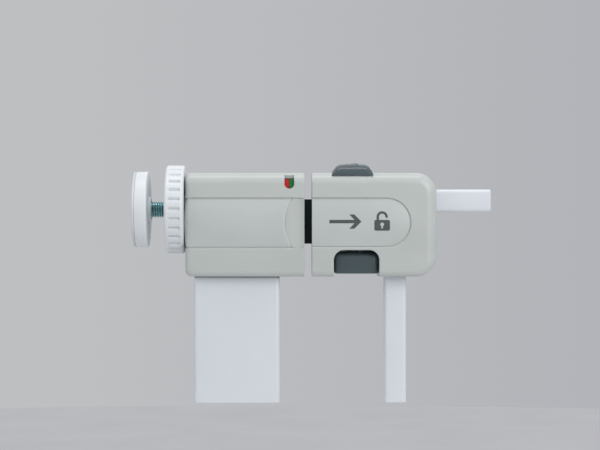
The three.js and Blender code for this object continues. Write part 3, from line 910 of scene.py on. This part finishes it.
def spring(name, axis, radius, wire, low, high, a, b, turns):
    """A coil of round wire along X or Z. radius is to its outside, and wire is the wire's radius."""
    steps, sides = turns * 20, 10
    length = high - low - 2 * wire
    loops = []
    for i in range(steps + 1):
        done = i / steps
        angle = 2 * math.pi * turns * done
        along = low + wire + length * done
        c, s = math.cos(angle), math.sin(angle)
        loop = []
        for k in range(sides):
            w = 2 * math.pi * k / sides
            r = radius - wire + wire * math.cos(w)
            u, v, t = r * c, r * s, along + wire * math.sin(w)
            loop.append((t, a + u, b + v) if axis == "X" else (a + u, b + v, t))
        loops.append(loop)
    return loft(name, loops)


def screw_head(name, x, z):
    """A pan head with a cross recess, on its shank."""
    profile = [
        (14.7, 0.2), (14.65, 1.4), (14.45, 2.2), (14.0, 2.75), (13.4, 2.9), (12.3, 2.9),
        (12.3, 1.4), (-12.4, 1.4), (-13, 0.8), (-13, 0.2),
    ]
    angles = [2 * math.pi * k / 40 for k in range(40)]
    loops = [[(x + r * math.cos(a), y, z + r * math.sin(a)) for a in angles] for y, r in profile]
    arms = []
    for dx, dz in ((1.7, 0.32), (0.32, 1.7)):
        arm = []
        for y, size in ((13.1, 0.4), (15.2, 1)):
            corners = ((-dx, -dz), (dx, -dz), (dx, dz), (-dx, dz))
            arm.append([(x + a * size, y, z + b * size) for a, b in corners])
        arms.append(loft("tool", arm))
    return cut(loft(name, loops), *arms)


# ---------------------------------------------------------------- assembly

GATE = "wall_and_gate"
FRAME = "frame_side"

place(wall_pad(), GATE, WHITE, "white_plastic", "wall_pad")
place(pad_rubber(), GATE, RUBBER, "grip_rubber", "wall_pad_rubber")
place(thread(), GATE, ZINC, "zinc_plate", "spindle")
place(hand_wheel(), "hand_wheel", WHITE, "white_plastic", "wheel")
place(settle(receiver_front()), FRAME, SHELL, "shell_grey", "receiver_front_shell")
place(settle(receiver_rear()), FRAME, SHELL, "shell_grey", "receiver_rear_shell")
place(band_panel(), FRAME, PANEL, "shell_grey", "receiver_inlay")
place(frame_post(), FRAME, TUBES, "tube_white", "frame_post")
place(settle(latch_front()), GATE, SHELL, "shell_grey", "latch_front_shell")
place(settle(latch_rear()), GATE, SHELL, "shell_grey", "latch_rear_shell")
place(pill_panel(), GATE, PANEL, "shell_grey", "latch_inlay")
place(pictogram(), GATE, PRINT, "slate_plastic")
end_tube = tube("gate_end_tube", "Z", 155.8, 169.5, -7, 7, POST_END, 16.5)
rail_tube = tube("gate_rail_tube", "X", -7, 7, -1.6, 12.4, 169.7, RAIL_END)
place(end_tube, GATE, TUBES, "tube_white", "gate_end_post")
place(rail_tube, GATE, TUBES, "tube_white", "gate_top_rail")
place(tongue(), "tongue", BLACK, "black_plastic", "bolt")
place(slider_cap(), "thumb_slider", SLATE, "slate_plastic", "top_slider")
place(trigger_body(), "finger_trigger", SLATE, "slate_plastic", "trigger")

for side, body, screws in (("receiver", FRAME, RECEIVER_SCREWS), ("latch", GATE, LATCH_SCREWS)):
    for i, (x, z) in enumerate(screws, 1):
        place(screw_head(f"{side}_screw_head_{i}", x, z), body, STEEL, "steel", f"{side}_screw_{i}")

coil = spring("bolt_coil", "X", 4, 0.5, 134.8, 155.3, 0, -7.5, 6)
place(coil, GATE, STEEL, "steel", "bolt_spring")
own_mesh(coil)
coil = spring("slider_coil", "X", 2.2, 0.35, 125.7, 155.3, 0, 13.5, 12)
place(coil, GATE, STEEL, "steel", "slider_spring")
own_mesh(coil)
for side, y in (("front", -12.4), ("rear", 12.4)):
    coil = spring(f"trigger_coil_{side}", "Z", 2.5, 0.35, -26.1, -14.3, 138.3, y, 6)
    place(coil, GATE, STEEL, "steel", f"trigger_spring_{side}")
    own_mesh(coil)
coil = spring("indicator_coil", "X", 1.9, 0.3, 88.3, 97.7, 12.5, -2, 6)
place(coil, FRAME, STEEL, "steel", "indicator_spring")
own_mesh(coil)

# CAD nodes that stay as they are and only get a material.
KEPT = {
    "wheel_nut": STEEL,
    "thrust_washer": STEEL,
    "spindle_guide": GUIDE,
    "strike_liner": BLACK,
    "indicator_carrier": BLACK,
    "indicator_red": RED,
    "indicator_green": GREEN,
    "indicator_lens": CLEAR,
    "lift_dog": STEEL,
    "slider_carriage": SLATE,
}
for node, mat in KEPT.items():
    dress(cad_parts[node], mat)

# ---------------------------------------------------------------- stage, light and camera


def stage_floor():
    """A plain pale floor below the cut ends of the posts."""
    bpy.ops.mesh.primitive_circle_add(vertices=96, radius=6.2, fill_type="NGON", location=(0.1, 0, -0.75))
    floor = bpy.context.object
    floor.name = "studio_floor"
    m, tree, shader = material("floor_paper", (0.74, 0.74, 0.74), 0.8)
    grain = noise(tree, 3, 4)
    shade_of_paper = ramp(tree, grain.outputs["Fac"], (0.73, 0.73, 0.73), (0.76, 0.76, 0.76))
    tree.links.new(shade_of_paper, shader.inputs["Base Color"])
    dress(floor, m)


def area(name, location, target, size, power, colour=(1, 1, 1), height=None):
    """A soft light aimed at a point: a square, or a rectangle when a height is given."""
    light = bpy.data.lights.new(name, "AREA")
    light.energy = power
    light.color = colour
    light.size = size
    if height:
        light.shape = "RECTANGLE"
        light.size_y = height
    obj = bpy.data.objects.new(name, light)
    obj.location = location
    direction = Vector(target) - Vector(location)
    obj.rotation_euler = direction.to_track_quat("-Z", "Y").to_euler()
    bpy.context.scene.collection.objects.link(obj)


stage_floor()
centre = (0.1, 0, -0.02)
area("key_right", (1.06, -1.15, 0.53), centre, 0.9, 12.0, (1.0, 0.995, 0.985))
area("fill_left", (-1.25, -0.85, 0.30), centre, 0.9, 3.2, (0.98, 0.99, 1.0))
area("overhead", (0.1, -0.12, 0.98), centre, 0.8, 3.4, (1, 1, 1), 0.16)
area("back_sheen", (0.1, 1.3, 1.1), centre, 1.6, 2.8, (1, 1, 1), 0.9)


def studio_world():
    """Soft light all round; the side seen behind the object falls off gently to the right."""
    world = bpy.data.worlds.new("studio_world")
    world.use_nodes = True
    tree = world.node_tree
    background = tree.nodes["Background"]
    coord = tree.nodes.new("ShaderNodeTexCoord")
    split = tree.nodes.new("ShaderNodeSeparateXYZ")
    tree.links.new(coord.outputs["Generated"], split.inputs["Vector"])
    across = tree.nodes.new("ShaderNodeMapRange")
    across.inputs["From Min"].default_value = -0.12
    across.inputs["From Max"].default_value = 0.17
    tree.links.new(split.outputs["X"], across.inputs["Value"])
    colour = ramp(tree, across.outputs["Result"], (0.515, 0.520, 0.534), (0.440, 0.452, 0.480), (0.0, 1.0))
    tree.links.new(colour, background.inputs["Color"])
    above = tree.nodes.new("ShaderNodeMapRange")
    above.inputs["From Min"].default_value = 0.12
    above.inputs["From Max"].default_value = 1.0
    above.inputs["To Min"].default_value = 1.0
    above.inputs["To Max"].default_value = 1.5
    tree.links.new(split.outputs["Z"], above.inputs["Value"])
    tree.links.new(above.outputs["Result"], background.inputs["Strength"])
    bpy.context.scene.world = world


studio_world()

bpy.context.scene.view_settings.view_transform = "Standard"
bpy.context.scene.view_settings.look = "None"

# The photograph's viewpoint: straight on, level with the middle of the housings.
camera_data = bpy.data.cameras.new("camera")
camera = bpy.data.objects.new("camera", camera_data)
bpy.context.scene.collection.objects.link(camera)
camera.location = (0.10356, -1.1143, -0.0097)
camera.rotation_euler = (math.pi / 2, 0, 0)
camera_data.sensor_width = 36
camera_data.lens = 107
camera_data.clip_start = 0.05
camera_data.clip_end = 60
bpy.context.scene.camera = camera
